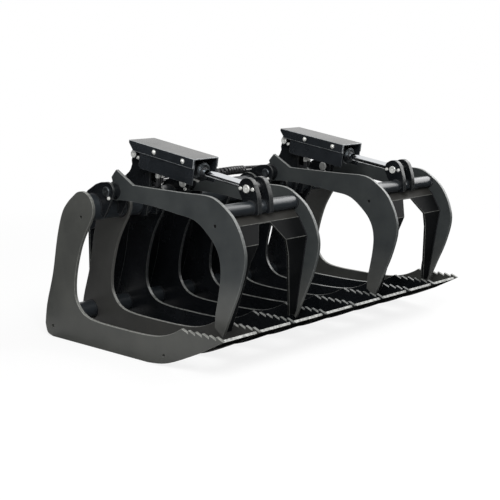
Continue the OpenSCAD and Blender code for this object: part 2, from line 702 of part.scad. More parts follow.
end_plate(-1);  // end_plate_left
tine(1);  // tine_1
tine(2);  // tine_2
tine(3);  // tine_3
tine(4);  // tine_4
tine(5);  // tine_5
tine(6);  // tine_6
tine(7);  // tine_7
end_plate(1);  // end_plate_right
top_tube();
rear_tube();
lip_plate();
tower(-1);  // tower_left
tower(1);  // tower_right
pivot_ears(-1);  // pivot_ears_left
pivot_ears(1);  // pivot_ears_right
mount_plate();
mount_hook();
mount_ledge();
mount_braces();
bulkhead();
bulkhead_ports();
pivot_pins();
claw(-arm_x - claw_gap / 2);  // claw_left_outer
claw(-arm_x + claw_gap / 2);  // claw_left_inner
claw_hubs(-1);  // claw_hubs_left
cross_tube(-1);  // cross_tube_left
gusset(-1);  // gusset_left
rod_lugs(-1);  // rod_lugs_left
rod_pin(-1);  // rod_pin_left
rod_pin_bolts(-1);  // rod_pin_bolts_left
claw(arm_x - claw_gap / 2);  // claw_right_inner
claw(arm_x + claw_gap / 2);  // claw_right_outer
claw_hubs(1);  // claw_hubs_right
cross_tube(1);  // cross_tube_right
gusset(1);  // gusset_right
rod_lugs(1);  // rod_lugs_right
rod_pin(1);  // rod_pin_right
rod_pin_bolts(1);  // rod_pin_bolts_right
barrel(-1);  // barrel_left
gland(-1);  // gland_left
base_pin(-1);  // base_pin_left
guard_cover(-1);  // guard_cover_left
guard_sides(-1);  // guard_sides_left
guard_bolts(-1);  // guard_bolts_left
port_fittings(-1);  // port_fittings_left
barrel(1);  // barrel_right
gland(1);  // gland_right
base_pin(1);  // base_pin_right
guard_cover(1);  // guard_cover_right
guard_sides(1);  // guard_sides_right
guard_bolts(1);  // guard_bolts_right
port_fittings(1);  // port_fittings_right
rod(-1);  // rod_left
rod_eye(-1);  // rod_eye_left
rod(1);  // rod_right
rod_eye(1);  // rod_eye_right
hoses(-1);  // hoses_left
hoses(1);  // hoses_right
union() { hose_sleeve(-1); hose_sleeve(1); }  // hose_sleeves
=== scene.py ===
"""Dresses a packed root grapple: eased plates, welds, pins, bolts, hoses, finishes, light, camera."""

import math

import bmesh
import bpy
import numpy as np
from mathutils import Matrix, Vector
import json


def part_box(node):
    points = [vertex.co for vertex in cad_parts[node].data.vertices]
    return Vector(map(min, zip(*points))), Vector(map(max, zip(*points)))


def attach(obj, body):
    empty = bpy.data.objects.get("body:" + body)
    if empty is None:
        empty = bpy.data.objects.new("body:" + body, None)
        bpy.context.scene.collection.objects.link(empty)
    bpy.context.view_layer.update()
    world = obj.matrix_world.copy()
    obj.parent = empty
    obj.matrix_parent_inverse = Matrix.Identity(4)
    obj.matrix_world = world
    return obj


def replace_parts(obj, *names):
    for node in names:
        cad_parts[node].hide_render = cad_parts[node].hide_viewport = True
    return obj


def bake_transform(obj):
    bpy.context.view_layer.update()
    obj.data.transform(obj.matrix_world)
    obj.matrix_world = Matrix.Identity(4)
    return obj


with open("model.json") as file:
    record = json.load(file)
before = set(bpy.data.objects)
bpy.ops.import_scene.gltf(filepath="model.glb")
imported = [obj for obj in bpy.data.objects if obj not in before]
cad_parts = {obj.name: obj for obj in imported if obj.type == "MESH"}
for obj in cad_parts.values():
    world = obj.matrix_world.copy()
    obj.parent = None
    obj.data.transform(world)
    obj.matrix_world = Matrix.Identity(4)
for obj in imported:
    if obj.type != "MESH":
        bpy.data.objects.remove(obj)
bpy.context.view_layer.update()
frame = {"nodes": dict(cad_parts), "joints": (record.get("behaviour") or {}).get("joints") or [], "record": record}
scene = bpy.context.scene
nodes = frame["nodes"]
joints = {joint["name"]: joint for joint in frame["joints"]}
body_of = {
    node: body
    for body, members in frame["record"]["behaviour"]["bodies"].items()
    for node in members
}
slot_of = {part["node"]: part["material_slot"] for part in frame["record"]["subparts"]}

MM = 0.001
SIDES = {"left": -1, "right": 1}
# The small holes through the claws, which come first, and the end plates, in the side view
SMALL_HOLES = np.array([
    [-0.50269, 0.63463], [0.4837, 0.05329], [-0.2975, 0.04891], [0.2509, 0.61028],
])

# Camera and light


def facing(place, back, right, up):
    """The matrix of a thing at a place that looks away from its back direction."""
    return Matrix([
        [right[0], up[0], back[0], place[0]],
        [right[1], up[1], back[1], place[1]],
        [right[2], up[2], back[2], place[2]],
        [0, 0, 0, 1],
    ])


def aim_camera():
    """Puts the camera where the photograph was taken: a long lens, front left, ten degrees up."""
    azimuth, elevation, roll = math.radians(-47.92), math.radians(10.16), math.radians(0.15)
    place = (-4.129, -3.7035, 1.359)
    back = np.array([
        math.sin(azimuth) * math.cos(elevation),
        -math.cos(azimuth) * math.cos(elevation),
        math.sin(elevation),
    ])
    right = np.cross([0, 0, 1], back)
    right /= np.linalg.norm(right)
    up = np.cross(back, right)
    rolled_right = right * math.cos(roll) + up * math.sin(roll)
    rolled_up = up * math.cos(roll) - right * math.sin(roll)
    camera = bpy.data.objects.new("camera", bpy.data.cameras.new("camera"))
    scene.collection.objects.link(camera)
    camera.data.lens = 78.89
    camera.data.sensor_width = 36
    camera.data.clip_end = 100
    camera.matrix_world = facing(place, back, rolled_right, rolled_up)
    scene.camera = camera


def soft_box(name, place, target, size, watts):
    """A square soft light at a place that faces a target and stays out of the picture."""
    light = bpy.data.objects.new(name, bpy.data.lights.new(name, "AREA"))
    scene.collection.objects.link(light)
    light.data.size = size
    light.data.energy = watts
    light.visible_camera = False
    back = np.array(place, float) - np.array(target, float)
    back /= np.linalg.norm(back)
    right = np.cross([0, 0, 1], back)
    right /= np.linalg.norm(right)
    light.matrix_world = facing(place, back, right, np.cross(back, right))


# Materials


def linear(hex_colour):
    """An sRGB hex value as a linear colour with full alpha."""
    value = np.array([int(hex_colour[i : i + 2], 16) for i in (1, 3, 5)]) / 255
    value = np.where(value <= 0.04045, value / 12.92, ((value + 0.055) / 1.055) ** 2.4)
    return (*value.tolist(), 1)


def put(tree, kind, inputs=(), **settings):
    """Adds a node with its settings; inputs, in order or by name, are values or others' outputs."""
    node = tree.nodes.new(kind)
    for name, value in settings.items():
        setattr(node, name, value)
    by_socket = inputs if isinstance(inputs, dict) else dict(enumerate(inputs))
    for name, value in by_socket.items():
        if isinstance(value, bpy.types.NodeSocket):
            tree.links.new(value, node.inputs[name])
        else:
            node.inputs[name].default_value = value
    return node


def feed(shader, **outputs):
    """Links nodes' outputs to the shader's sockets of those names."""
    for socket, output in outputs.items():
        shader.id_data.links.new(output, shader.inputs[socket.replace("_", " ")])


def new_material(name, **sockets):
    """An empty material whose shader's own sockets hold what is the same all over."""
    material = bpy.data.materials.new(name)
    material.use_nodes = True
    tree = material.node_tree
    shader = tree.nodes["Principled BSDF"]
    for socket, value in sockets.items():
        shader.inputs[socket.replace("_", " ")].default_value = value
    place = put(tree, "ShaderNodeTexCoord").outputs["Object"]
    return material, tree, shader, place


def vary(tree, shader, pattern, colours, roughness):
    """Lets one pattern carry the shader between two hex colours and two roughnesses."""
    low, high = (linear(colour) for colour in colours)
    colour = put(tree, "ShaderNodeMix", {0: pattern, 6: low, 7: high}, data_type="RGBA")
    rough = put(tree, "ShaderNodeMapRange", (pattern, 0.3, 0.7, *roughness))
    feed(shader, Base_Color=colour.outputs[2], Roughness=rough.outputs[0])


# What lies on the paint, and the pale of painted light on faces that look up
DUST_AND_TOP_LIGHT = "#66645f"
SOIL = "#82807a"


def powder_coat(name, dark, light, edge, roughness, gloss, dust_and_top_light=0.0, soil=0.0):
    """Black polyester powder coat, baked on steel plate.

    A satin skin with faint clouds of dust about 200 mm across and orange peel about 4 mm across,
    drawn a little coarser than it is so that it shows. Along cut edges the coat is thin and rubbed
    pale, and is painted pale as a highlight too, most where the edges look up, as the attribute that
    each eased plate carries says, broken up by scratches 12 mm long. Dust lies on faces that look up,
    by a share, together with painted light from above, and soil has greyed what is less than about
    0.4 m above the ground at rest, by another.
    """
    material, tree, shader, place = new_material(name, IOR=1.5, Specular_IOR_Level=gloss)
    clouds = put(
        tree, "ShaderNodeTexNoise", {"Vector": place, "Scale": 5.0, "Detail": 5.0, "Roughness": 0.6}
    ).outputs["Fac"]
    peel = put(tree, "ShaderNodeTexNoise", {"Vector": place, "Scale": 250.0, "Detail": 1.0})
    scuff = put(tree, "ShaderNodeTexNoise", {"Vector": place, "Scale": 85.0, "Detail": 3.0})
    layers = [(put(tree, "ShaderNodeMapRange", (clouds, 0.35, 0.7, 0.0, 1.0)), light)]
    # Dust and painted light from above: faces that look up are paler the more they look up.
    if dust_and_top_light:
        looks = put(tree, "ShaderNodeTexCoord").outputs["Normal"]
        upward = put(tree, "ShaderNodeSeparateXYZ", (looks,)).outputs["Z"]
        layers.append((put(tree, "ShaderNodeMapRange", (upward, 0.5, 0.95, 0.0, dust_and_top_light)), DUST_AND_TOP_LIGHT))
    if soil:
        height = put(tree, "ShaderNodeSeparateXYZ", (place,)).outputs["Z"]
        low_down = put(tree, "ShaderNodeMapRange", (height, 0.18, 0.42, soil, 0.0)).outputs[0]
        patches = put(tree, "ShaderNodeMapRange", (clouds, 0.3, 0.7, 0.6, 1.0)).outputs[0]
        layers.append((put(tree, "ShaderNodeMath", (low_down, patches), operation="MULTIPLY"), SOIL))
    # Pale cut edges: rubbed coat, and painted highlights where the edges look up.
    worn_and_lit = put(tree, "ShaderNodeAttribute", attribute_name="worn_and_lit").outputs["Fac"]
    broken = put(tree, "ShaderNodeMapRange", (scuff.outputs["Fac"], 0.35, 0.65, 0.45, 1.0)).outputs[0]
    layers.append((put(tree, "ShaderNodeMath", (worn_and_lit, broken), operation="MULTIPLY"), edge))
    colour = linear(dark)
    for share, over in layers:
        inputs = {0: share.outputs[0], 6: colour, 7: linear(over)}
        colour = put(tree, "ShaderNodeMix", inputs, data_type="RGBA").outputs[2]
    rough = put(tree, "ShaderNodeMapRange", (clouds, 0.3, 0.75, roughness - 0.04, roughness + 0.08))
    bump = put(
        tree, "ShaderNodeBump", {"Height": peel.outputs["Fac"], "Distance": 0.05 * MM, "Strength": 0.35}
    )
    feed(shader, Base_Color=colour, Roughness=rough.outputs[0], Normal=bump.outputs[0])
    return material


def zinc_plate():
    """Zinc plating with its white passivated bloom, on bolts, pins and fittings.

    Pale and half matt, with a crystal mottle drawn 7 mm wide, coarser than it is, so that it shows.
    """
    material, tree, shader, place = new_material("passivated zinc plate", Metallic=0.5)
    mottle = put(
        tree, "ShaderNodeTexNoise", {"Vector": place, "Scale": 140.0, "Detail": 3.0}
    ).outputs["Fac"]
    vary(tree, shader, mottle, ("#c6c8c5", "#efefeb"), (0.26, 0.44))
    bump = put(tree, "ShaderNodeBump", {"Height": mottle, "Distance": 0.1 * MM, "Strength": 0.3})
    feed(shader, Normal=bump.outputs[0])
    return material


def hard_chrome():
    """Ground and chromed rod: a near mirror, with grinding marks drawn 1 mm wide so that they show."""
    material, tree, shader, place = new_material("hard chrome", Metallic=1.0)
    marks = put(tree, "ShaderNodeTexNoise", {"Vector": place, "Scale": 900.0, "Detail": 1.0})
    vary(tree, shader, marks.outputs["Fac"], ("#c9cccf", "#e6e8ea"), (0.08, 0.18))
    return material


def oiled_steel():
    """Turned steel darkened by oil and dust, with a film that is thicker in patches 17 mm wide."""
    material, tree, shader, place = new_material("oiled turned steel", Metallic=1.0)
    film = put(tree, "ShaderNodeTexNoise", {"Vector": place, "Scale": 60.0, "Detail": 4.0})
    vary(tree, shader, film.outputs["Fac"], ("#34373a", "#6c7174"), (0.28, 0.5))
    return material


def hose_rubber():
    """Synthetic rubber cured in wrapping cloth, which prints its weave of 2.4 mm in the skin.

    A pale bloom lies on it in patches 33 mm wide.
    """
    material, tree, shader, place = new_material("wrapped rubber", IOR=1.52)
    weave = put(tree, "ShaderNodeTexVoronoi", {"Vector": place, "Scale": 420.0}).outputs["Distance"]
    bloom = put(tree, "ShaderNodeTexNoise", {"Vector": place, "Scale": 30.0, "Detail": 3.0})
    vary(tree, shader, bloom.outputs["Fac"], ("#121214", "#232427"), (0.42, 0.6))
    bump = put(tree, "ShaderNodeBump", {"Height": weave, "Distance": 0.3 * MM, "Strength": 0.4})
    feed(shader, Normal=bump.outputs[0])
    return material


def shade_plug_plastic():
    """Polyethylene moulded in a plug: dull black, its fine spark-eroded grain drawn 1 mm wide. The plugs are
    painted shade: they stand for the dark inside the claws' holes.
    """
    material, tree, shader, place = new_material(
        "moulded black polyethylene", IOR=1.5, Specular_IOR_Level=0.15
    )
    grain = put(tree, "ShaderNodeTexNoise", {"Vector": place, "Scale": 1000.0, "Detail": 2.0})
    vary(tree, shader, grain.outputs["Fac"], ("#060606", "#0e0e0f"), (0.5, 0.65))
    return material


def sleeve_plastic():
    """Extruded polyethylene strip wound round the hoses: smooth, with dust in 22 mm patches."""
    material, tree, shader, place = new_material("extruded polyethylene", IOR=1.5)
    dust = put(tree, "ShaderNodeTexNoise", {"Vector": place, "Scale": 45.0, "Detail": 4.0})
    vary(tree, shader, dust.outputs["Fac"], ("#161719", "#2d2e30"), (0.3, 0.5))
    return material


# Each powder coat's name, dark and light skin, edge colour for rubbed coat and painted highlights, roughness and
# gloss
FINISHES = {
    "frame_paint": powder_coat(
        "satin black powder coat", "#0e1012", "#16181b", "#80827f", 0.24, 0.26
    ),
    # The side paint is lighter than the frame paint: dust, and painted light on the side faces that the light
    # reaches.
    "side_paint": powder_coat(
        "black powder coat with dust and painted light", "#2d3031", "#383b3b", "#a3a5a2", 0.34, 0.35, soil=0.3
    ),
    "zinc": zinc_plate(),
    "gland_metal": oiled_steel(),
    "chrome": hard_chrome(),
    "hose_rubber": hose_rubber(),
    "sleeve_plastic": sleeve_plastic(),
}
# The end plates' coat is lighter: dust, and painted light on the faces that the light reaches.
END_PLATE_PAINT = powder_coat(
    "black powder coat, end plates dusty and painted lit", "#3c3d3b", "#464744", "#9c9d98", 0.42, 0.3
)
# The guards' pale edge colour paints the highlight along the folds beside the rubbed coat, and dust with painted
# light from above lies on the top.
GUARD_PAINT = powder_coat(
    "gloss black powder coat of the guards", "#191c1f", "#24272b", "#b4b8ba", 0.22, 0.45, dust_and_top_light=0.3
)
# Painted light: the first tine's coat is lighter for the light that comes in through the end plate's opening.
FIRST_TINE_PAINT = powder_coat(
    "black powder coat, first tine painted lit", "#363635", "#3f3f3d", "#8e8f8b", 0.4, 0.3
)
TUBE_PAINT = powder_coat(
    "gloss black powder coat of the tubes", "#1a1e21", "#262a2e", "#6f7270", 0.3, 0.55
)
# Painted shade: a near-black coat with almost no reflection, for the recess between the claws, which lies in
# shade.
SHELL_PAINT = powder_coat(
    "black powder coat inside the arms, painted shade", "#0b0c0d", "#131415", "#5d5e5b", 0.5, 0.03, dust_and_top_light=0.4
)
# Painted shade: the lip's coat has almost no reflection, so its underside stays dark as in the shade beneath the
# machine; its front face is painted pale, as worn steel and as a painted highlight.
LIP_PAINT = powder_coat(
    "flat black powder coat, lip worn by soil", "#0c0d0e", "#141516", "#b9bab7", 0.55, 0.05
)
SHADE_PLUG_PLASTIC = shade_plug_plastic()


def finish(piece, slot, paint=None):
    """Gives a piece the material of its record slot, or another paint of the same kind."""
    piece.data.materials.clear()
    piece.data.materials.append(paint or FINISHES[slot])


# Making pieces


def new_piece(name, mesh, body, slot, paint=None):
    """Puts a finished mesh in the scene, on its body and with its finish."""
    piece = bpy.data.objects.new(name, mesh)
    scene.collection.objects.link(piece)
    finish(piece, slot, paint)
    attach(piece, body)
    return piece


def sectors(corners, ahead, twin, sharp):
    """Numbers the fans of corners between sharp edges: those across a smooth edge share a fan."""
    first = np.arange(len(corners))
    smooth = ~sharp
    pairs = np.concatenate([
        np.stack([first[smooth], ahead[twin[smooth]]], axis=1),
        np.stack([ahead[first[smooth]], twin[smooth]], axis=1),
    ])
    label = first.copy()
    while True:
        before = label.copy()
        np.minimum.at(label, pairs[:, 0], label[pairs[:, 1]])
        np.minimum.at(label, pairs[:, 1], label[pairs[:, 0]])
        if np.array_equal(before, label):
            return np.unique(label, return_inverse=True)


def triangles_of(node):
    """A CAD solid's points and triangles, with its loose triangles merged."""
    work = bmesh.new()
    work.from_mesh(nodes[node].data)
    bmesh.ops.remove_doubles(work, verts=work.verts, dist=0.002 * MM)
    bmesh.ops.triangulate(work, faces=work.faces)
    mesh = bpy.data.meshes.new("merged")
    work.to_mesh(mesh)
    work.free()
    points = np.empty(len(mesh.vertices) * 3)
    mesh.vertices.foreach_get("co", points)
    corners = np.empty(len(mesh.loops), int)
    mesh.loops.foreach_get("vertex_index", corners)
    bpy.data.meshes.remove(mesh)
    return points.reshape(-1, 3), corners


def mark_worn_and_lit_edges(mesh, flats, rim, rub_and_highlight, worn_and_lit_face):
    """Writes how far each face is painted pale, from 0 to 1: rubbed coat, and painted highlight.

    The flats come first in the mesh and keep their paint, and what follows is edge strips, pale by
    a share. An upright plate's cut rims are pale by a share of their own, both most where they look
    up, which is painted light from above on a rubbed edge. A face that looks along the given
    direction is pale all over, as worn steel and as a painted highlight. Round the small holes the paint is whole.
    """
    looks, middle_of = np.empty(len(mesh.polygons) * 3), np.empty(len(mesh.polygons) * 3)
    mesh.polygons.foreach_get("normal", looks)
    mesh.polygons.foreach_get("center", middle_of)
    looks, middle_of = looks.reshape(-1, 3), middle_of.reshape(-1, 3)
    # Painted highlight: edge strips and rims are paler the more they look up.
    edges = rub_and_highlight * (0.35 + 0.65 * np.clip(1.4 * looks[:, 2], 0, 1)) if rim else rub_and_highlight
    wear_and_highlight = np.where(np.arange(len(looks)) < flats, 0.0, edges)
    cut = rim * (0.1 + 0.9 * np.clip(looks[:, 2], 0, 1))
    wear_and_highlight = np.where((np.abs(looks[:, 0]) < 0.5) & (wear_and_highlight < cut), cut, wear_and_highlight)
    if worn_and_lit_face is not None:
        wear_and_highlight = np.where(looks @ np.array(worn_and_lit_face) > 0.93, 1.0, wear_and_highlight)
    for hole in SMALL_HOLES:
        wear_and_highlight = np.where(np.linalg.norm(middle_of[:, 1:] - hole, axis=1) < 12 * MM, 0.0, wear_and_highlight)
    mesh.attributes.new("worn_and_lit", "FLOAT", "FACE").data.foreach_set("value", wear_and_highlight)


def eased(node, radius, rim=0.0, paint=None, fold=35, worn_and_lit_face=None, rub_and_highlight=1.0):
    """A copy of a CAD solid whose sharp edges are rounded as cutting and grinding leave them.

    Every flat or curved face draws back from its sharp edges by the radius, within its own plane,
    and by no more than twice that at a corner. Two narrow strips bridge each gap over the middle of
    the arc that would fill it: the corner plus 0.293 of both faces' shifts. Corners are then closed.
    An edge is sharp where its faces turn by more than the fold's degrees.
    """
    points, corners = triangles_of(node)
    count = len(corners)
    ahead = np.arange(count).reshape(-1, 3)[:, [1, 2, 0]].reshape(-1)
    face = np.arange(count) // 3
    triangle = points[corners].reshape(-1, 3, 3)
    normal = np.cross(triangle[:, 1] - triangle[:, 0], triangle[:, 2] - triangle[:, 0])
    area = np.linalg.norm(normal, axis=1, keepdims=True)
    normal /= np.maximum(area, 1e-18)
    forward = corners * len(points) + corners[ahead]
    backward = corners[ahead] * len(points) + corners
    order = np.argsort(forward)
    twin = order[np.minimum(np.searchsorted(forward[order], backward), count - 1)]
    lean = np.einsum("ij,ij->i", normal[face], normal[face[twin]])
    paired = (forward[twin] == backward) & (twin[twin] == np.arange(count))
    sharp = paired & (lean < math.cos(math.radians(fold)))
    sharp &= sharp[twin]
    twin = np.where(paired, twin, np.arange(count))
    _, group = sectors(corners, ahead, twin, sharp)
    total = group.max() + 1
    group_normal = np.zeros((total, 3))
    np.add.at(group_normal, group, (normal * area)[face])
    group_normal /= np.maximum(np.linalg.norm(group_normal, axis=1, keepdims=True), 1e-18)
    edge = np.flatnonzero(sharp)
    other = normal[face[twin[edge]]]
    opposite = points[corners[ahead[ahead[twin[edge]]]]] - points[corners[edge]]
    side = np.where(np.einsum("ij,ij->i", opposite, normal[face[edge]]) < 0, -1.0, 1.0)
    pull = np.zeros((total, 3))
    system = np.einsum("ij,ik->ijk", group_normal, group_normal) + 0.002 * np.eye(3)
    for ends in (group[edge], group[ahead[edge]]):
        looks = group_normal[ends]
        across = other - looks * np.einsum("ij,ij->i", other, looks)[:, None]
        across /= np.maximum(np.linalg.norm(across, axis=1, keepdims=True), 1e-9)
        np.add.at(system, ends, np.einsum("ij,ik->ijk", across, across))
        np.add.at(pull, ends, across * (side * radius)[:, None])
    shift = np.linalg.solve(system, pull[:, :, None])[:, :, 0]
    length = np.linalg.norm(shift, axis=1, keepdims=True)
    shift *= np.minimum(1, 2 * radius / np.maximum(length, 1e-12))
    home = np.zeros((total, 3))
    home[group] = points[corners]
    once = edge[edge < twin[edge]]
    near_a, near_b = group[once], group[ahead[once]]
    far_a, far_b = group[ahead[twin[once]]], group[twin[once]]
    joined = np.concatenate([np.stack([near_a, far_a], 1), np.stack([near_b, far_b], 1)])
    joined.sort(axis=1)
    between, place = np.unique(joined, axis=0, return_inverse=True)
    place = place.reshape(-1) + total
    middles = home[between[:, 0]] + 0.293 * (shift[between[:, 0]] + shift[between[:, 1]])
    mid_a, mid_b = place[: len(once)], place[len(once) :]
    strips = np.concatenate([
        np.stack([near_b, near_a, mid_a, mid_b], axis=1),
        np.stack([mid_b, mid_a, far_a, far_b], axis=1),
    ])
    mesh = bpy.data.meshes.new(node + "_eased")
    faces = group.reshape(-1, 3).tolist() + strips.tolist()
    mesh.from_pydata(np.concatenate([home + shift, middles]).tolist(), [], faces)
    work = bmesh.new()
    work.from_mesh(mesh)
    bmesh.ops.holes_fill(work, edges=[line for line in work.edges if line.is_boundary], sides=0)
    bmesh.ops.recalc_face_normals(work, faces=work.faces)
    work.to_mesh(mesh)
    work.free()
    mark_worn_and_lit_edges(mesh, count // 3, rim, rub_and_highlight, worn_and_lit_face)
    mesh.shade_smooth()
    piece = new_piece(node + "_eased", mesh, body_of[node], slot_of[node], paint)
    flats = piece.modifiers.new("flat faces stay flat", "WEIGHTED_NORMAL")
    flats.mode = "FACE_AREA"
    flats.weight = 50
    flats.keep_sharp = True
    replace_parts(piece, node)
    return piece


def quads(count_u, count_v, wrap_u, wrap_v, first=0):
    """Faces of a grid of points, joined end to end where it wraps."""
    u = np.arange(count_u if wrap_u else count_u - 1)[:, None]
    v = np.arange(count_v if wrap_v else count_v - 1)[None, :]
    next_u, next_v = (u + 1) % count_u, (v + 1) % count_v
    corners = [a * count_v + b for a, b in ((u, v), (next_u, v), (next_u, next_v), (u, next_v))]
    return first + np.stack([c.reshape(-1) for c in corners], axis=1)


def grids_to_mesh(name, grids, wrap_u, wrap_v):
    """One mesh from many grids of points of the same kind, its normals made to face outwards."""
    points, faces, first = [], [], 0
    for grid in grids:
        points.append(grid.reshape(-1, 3))
        faces.append(quads(grid.shape[0], grid.shape[1], wrap_u, wrap_v, first))
        first += grid.shape[0] * grid.shape[1]
    mesh = bpy.data.meshes.new(name)
    mesh.from_pydata(np.concatenate(points).tolist(), [], np.concatenate(faces).tolist())
    work = bmesh.new()
    work.from_mesh(mesh)
    bmesh.ops.remove_doubles(work, verts=work.verts, dist=0.005 * MM)
    bmesh.ops.recalc_face_normals(work, faces=work.faces)
    work.to_mesh(mesh)
    work.free()
    mesh.shade_smooth()
    mesh.set_sharp_from_angle(angle=math.radians(35))
    return mesh


def turned(profile, centre, axis, count=32):
    """A turned shape: a profile of (millimetres along the axis, radius) carried round the axis.

    With a count of six it is a hexagon, as on a bolt head.
    """
    axis = np.array(axis, float) / np.linalg.norm(axis)
    across = np.cross(axis, [0.3, 0.5, 0.81])
    across /= np.linalg.norm(across)
    other = np.cross(axis, across)
    along, radius = np.array(profile, float).T * MM
    angle = np.linspace(0, 2 * math.pi, count, endpoint=False)
    ring = np.cos(angle)[None, :, None] * across + np.sin(angle)[None, :, None] * other
    return np.array(centre) + along[:, None, None] * axis + radius[:, None, None] * ring


def smooth_path(points, steps):
    """The cubic through points whose slope at each is half the step between its neighbours."""
    points = np.array(points, float)
    ahead = np.concatenate([points[1:], points[-1:]])
    after = np.concatenate([points[2:], points[-1:], points[-1:]])
    before = np.concatenate([points[:1], points[:-1]])
    t = (np.arange(steps) / steps)[None, :, None]
    a, b, c, d = (group[:-1, None, :] for group in (before, points, ahead, after))
    squared, cubed = 2 * a - 5 * b + 4 * c - d, 3 * b - a - 3 * c + d
    path = (2 * b + (c - a) * t + squared * t**2 + cubed * t**3) / 2
    return np.concatenate([path.reshape(-1, 3), points[-1:]])


def path_frame(path, lean):
    """Unit tangents along a path and two directions square to them; lean is off the path."""
    tangent = np.gradient(path, axis=0)
    tangent /= np.linalg.norm(tangent, axis=1, keepdims=True)
    normal = np.array(lean) - tangent * (tangent @ np.array(lean))[:, None]
    normal /= np.linalg.norm(normal, axis=1, keepdims=True)
    return tangent, normal, np.cross(tangent, normal)


def tube(path, radius, lean, count=16):
    """A round tube carried along a path, with a radius for each point and closed ends."""
    _, normal, other = path_frame(path, lean)
    radius = np.broadcast_to(radius, (len(path),)).astype(float)
    path = np.concatenate([path[:1], path, path[-1:]])
    normal = np.concatenate([normal[:1], normal, normal[-1:]])
    other = np.concatenate([other[:1], other, other[-1:]])
    radius = np.concatenate([[1e-6], radius, [1e-6]])
    angle = np.linspace(0, 2 * math.pi, count, endpoint=False)[None, :, None]
    ring = np.cos(angle) * normal[:, None, :] + np.sin(angle) * other[:, None, :]
    return path[:, None, :] + radius[:, None, None] * ring


def distances(path):
    """How far along a path each of its points is."""
    return np.concatenate([[0], np.cumsum(np.linalg.norm(np.diff(path, axis=0), axis=1))])


def evenly(points, step):
    """A path's points moved to equal steps along it, with the distance of each from its start."""
    points = np.array(points, float)
    length = distances(points)
    fine = np.linspace(0, length[-1], max(8, round(length[-1] / step)))
    return np.stack([np.interp(fine, length, points[:, k]) for k in range(3)], axis=1), fine


def bead(points, leg, lean=(1.0, 0.0, 0.0)):
    """A weld bead that starts and ends: a small circle carried along a path, its leg in millimetres.

    Its radius is about half the leg, swells and shrinks every 5 mm as the weld's ripples do, and
    falls as the root of the distance to either end.
    """
    path, fine = evenly(points, 1.2 * MM)
    ends = np.clip(np.minimum(fine, fine[-1] - fine) / (4 * MM), 0.02, 1) ** 0.5
    radius = leg * MM * (0.55 + 0.06 * np.sin(2 * math.pi * fine / (5 * MM))) * ends
    return tube(path, radius, lean, 8)


def arc(x, centre, radius, start, end):
    """Points on a circle in the side view, from one angle to another, from the rear over the top."""
    angle = np.radians(np.linspace(start, end, 90))
    along, height = centre[0] + radius * np.cos(angle), centre[1] + radius * np.sin(angle)
    return np.stack([np.full(len(angle), x), along, height], axis=1)


def ring_bead(x, centre, radius, leg):
    """A weld bead right round a tube: a circle in the side view carries a small rippled circle."""
    turns = np.linspace(0, 2 * math.pi, 150, endpoint=False)[:, None]
    section = np.linspace(0, 2 * math.pi, 8, endpoint=False)[None, :]
    ripples = round(2 * math.pi * radius / (5 * MM))
    swell = leg * MM * (0.55 + 0.06 * np.sin(turns * ripples))
    reach = radius + swell * np.sin(section)
    return np.stack(
        [
            x + swell * np.cos(section) + 0 * turns,
            centre[0] + reach * np.cos(turns),
            centre[1] + reach * np.sin(turns),
        ],
        axis=2,
    )


# Where things are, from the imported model


def middle(node):
    """The middle of a CAD node's box."""
    low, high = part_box(node)
    return np.array((low + high) / 2)


def radius_of(node):
    """The radius of a tube that runs across the width."""
    low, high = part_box(node)
    return (high.z - low.z) / 2


TUBE = middle("top_tube")
TUBE_R = radius_of("top_tube")
REAR = middle("rear_tube")
REAR_R = radius_of("rear_tube")
ARM_X = abs(joints["arm_hinge_right"]["pos_m"][0])
PIVOT = np.array(joints["arm_hinge_right"]["pos_m"])
BASE = np.array(joints["cylinder_hinge_right"]["pos_m"])
FORWARD = np.array(joints["rod_slide_right"]["axis"])
UPWARD = np.cross([1, 0, 0], -FORWARD)
TINES = ["end_plate_left", *(f"tine_{i}" for i in range(1, 8)), "end_plate_right"]
CLAW_OUT = middle("claw_right_outer")[0] - ARM_X
CLAW_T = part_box("claw_right_outer")[1].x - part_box("claw_right_outer")[0].x
CROSS = middle("cross_tube_right")
CROSS_R = radius_of("cross_tube_right")
BASE_BOLT = BASE - np.array([0, 30, 16]) * MM
PIVOT_BOLT = PIVOT - np.array([0, 15, 30]) * MM

# In millimetres, across from the middle of an arm: two plates of a tower and two rod lugs, each
# with half its thickness. Then, from the middle of a claw, the faces of its two ears
TOWER_PLATE, TOWER_HALF = 32.5, 6
LUG, LUG_HALF = 39, 12.5
EAR_FACES = (-56.5, -44.5, 44.5, 56.5)
HUB_R, CLAW_REACH, CLAW_DROP = 37 * MM, 816 * MM, 578 * MM

# In millimetres, forward of the base pin along a cylinder
BASE_CAP, GLAND_FACE, ROD_REACH = 70, 416, 729.19
ROD_EYE_NECK = ROD_REACH - 68
GUARD_BOLTS, GUARD_BOLT_UP = (159, 351), 43
BASE_PORT, ROD_PORT, PORT_ACROSS, PORT_DOWN = 130, 366, 15, -59.6

ROD_PIN = BASE + ROD_REACH * MM * FORWARD


def on_axis(side, forward, up=0.0, across=0.0):
    """A point by a cylinder in millimetres: forward of its base pin, above its axis, across."""
    place = BASE + (forward * FORWARD + up * UPWARD) * MM
    place[0] = side * ARM_X + across * MM
    return place


def at_x(place, x):
    """The same place in the side view at another distance along the width."""
    return np.array([x, place[1], place[2]])


# Plates, tubes and forgings

